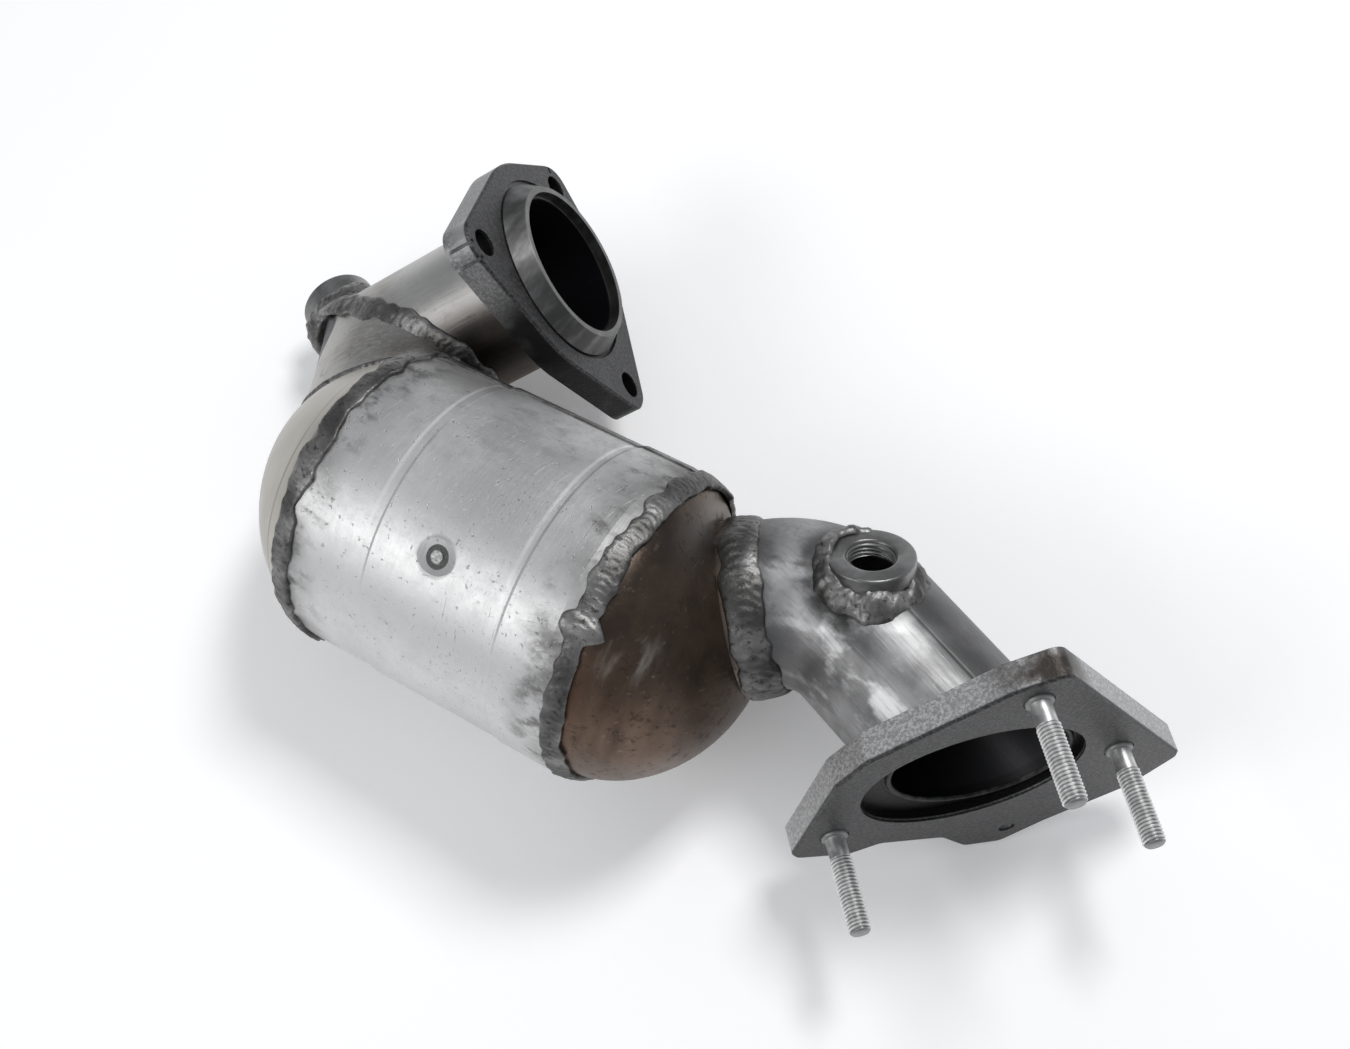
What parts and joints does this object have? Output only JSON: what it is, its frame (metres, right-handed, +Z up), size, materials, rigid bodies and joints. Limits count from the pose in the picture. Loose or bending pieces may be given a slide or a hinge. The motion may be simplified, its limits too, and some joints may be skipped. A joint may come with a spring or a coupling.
{
  "type": "catalytic converter",
  "caption": "Close-coupled catalytic converter: flanged inlet on a mitred corner, round can between drawn cones, bent outlet pipe with a studded flange.",
  "frame": {"origin": "centre of the inlet flange's joint face, on the inlet pipe's axis", "axes": "+Z is up as the converter lies on a bench; +X runs along the can from inlet to outlet, a few degrees off level"},
  "size_m": [0.3849, 0.2066, 0.1252],
  "materials": {
    "can_steel": "rolled stainless sheet, scratched and lightly stained",
    "weld": "dark rippled weld bead",
    "inlet_cone_steel": "pale straw heat tint",
    "outlet_cone_steel": "brown heat tint",
    "pipe_steel": "brushed tube with dull stains",
    "flange_steel": "dark pitted face, lighter speckled edge",
    "seat_steel": "turned, satin",
    "stud_steel": "bright plated",
    "boss_steel": "turned, dull grey",
    "ceramic": "coated honeycomb",
    "mat_fibre": "mineral fibre mat"
  },
  "bodies": {
    "root": {"can_shell": "can_steel", "can_plug": "can_steel", "can_seam_weld": "weld", "ceramic_block": "ceramic", "support_mat": "mat_fibre", "inlet_seal_ring": "mat_fibre", "outlet_seal_ring": "mat_fibre", "inlet_cone": "inlet_cone_steel", "inlet_can_weld": "weld", "inlet_transition": "pipe_steel", "opening_weld": "weld", "inlet_pipe": "pipe_steel", "mitre_weld": "weld", "inlet_sensor_boss": "boss_steel", "inlet_boss_weld": "weld", "inlet_flange": "flange_steel", "inlet_flange_weld": "weld", "inlet_seat_ring": "seat_steel", "outlet_cone": "outlet_cone_steel", "outlet_can_weld": "weld", "outlet_pipe": "pipe_steel", "collar_weld": "weld", "outlet_sensor_boss": "boss_steel", "outlet_boss_weld": "weld", "outlet_flange": "flange_steel", "outlet_flange_weld": "weld", "stud_left": "stud_steel", "stud_top": "stud_steel", "stud_right": "stud_steel"}
  },
  "joints": []
}
